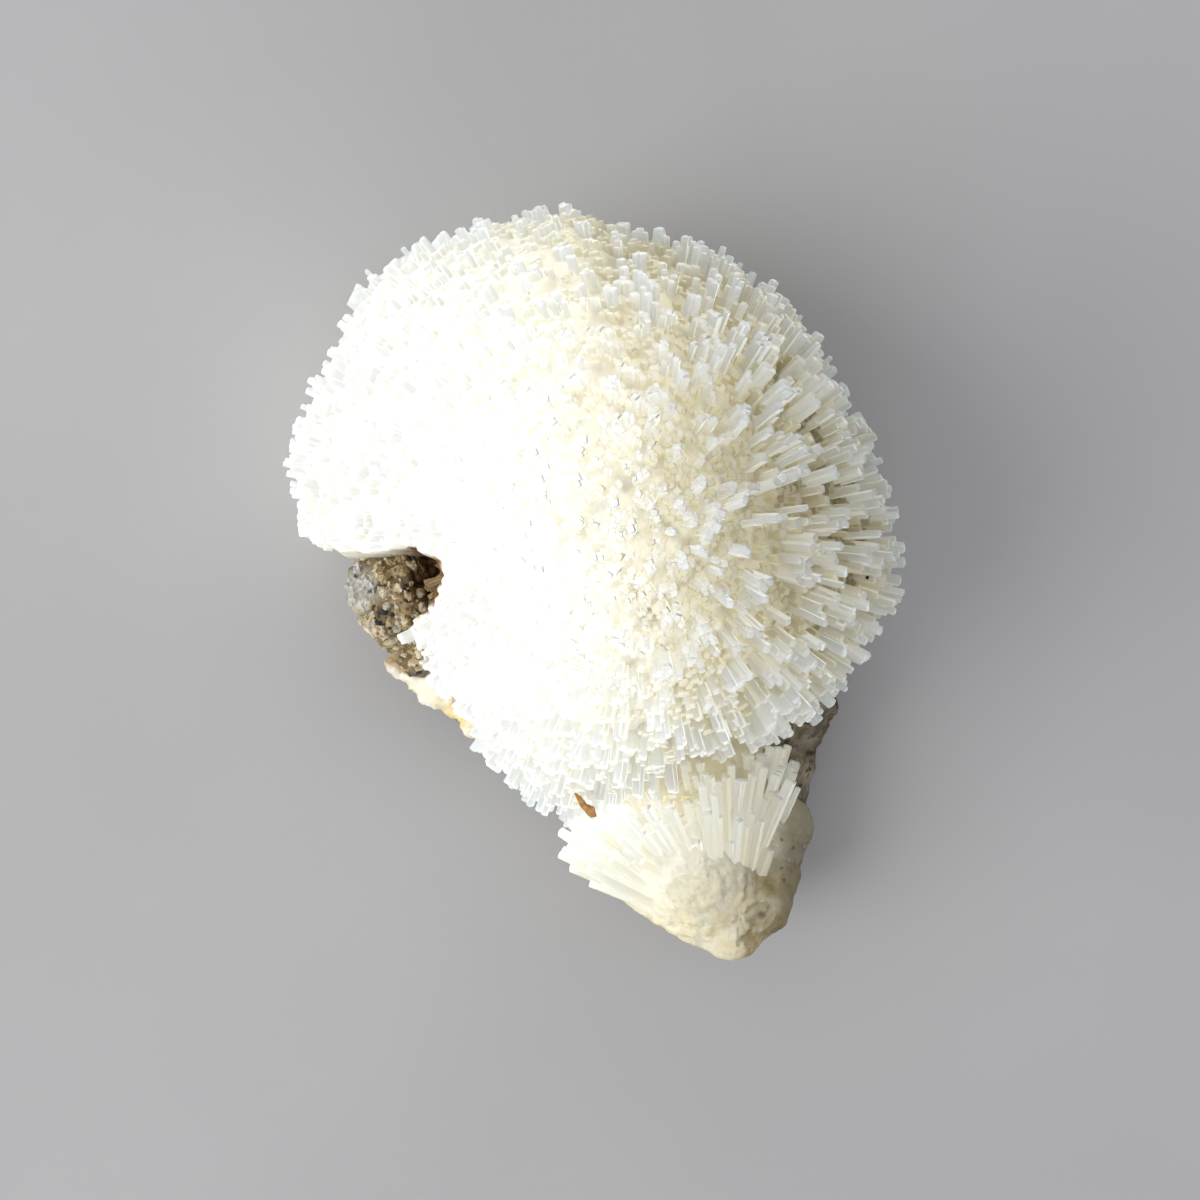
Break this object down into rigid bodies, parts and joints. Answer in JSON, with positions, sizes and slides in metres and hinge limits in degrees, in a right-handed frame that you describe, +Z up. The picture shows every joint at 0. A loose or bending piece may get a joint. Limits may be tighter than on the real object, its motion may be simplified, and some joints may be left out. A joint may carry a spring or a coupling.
{
  "type": "natrolite specimen",
  "caption": "Natural mineral specimen: a dome and a tip fan of blunt white natrolite prisms radiating from brown basalt matrix, lying crystals up as a display piece.",
  "frame": {"origin": "on the flat sawn back of the rock, under the middle of the specimen", "axes": "+Z up out of the sawn back towards the crystals, +Y from the pointed tip towards the dome, +X to the right seen from above"},
  "size_m": [0.0883, 0.1087, 0.0554],
  "materials": {
    "basalt": "rough, granular",
    "natrolite": "milky, glassy lustre",
    "cream_crust": "waxy",
    "tan_crust": "waxy, slightly clear",
    "rust": "dull"
  },
  "bodies": {
    "root": {"matrix_rock": "basalt", "main_spray": "natrolite", "tip_fan": "natrolite", "rim_crust": "cream_crust", "tip_crust": "tan_crust", "rusty_splinter": "rust"}
  },
  "joints": []
}
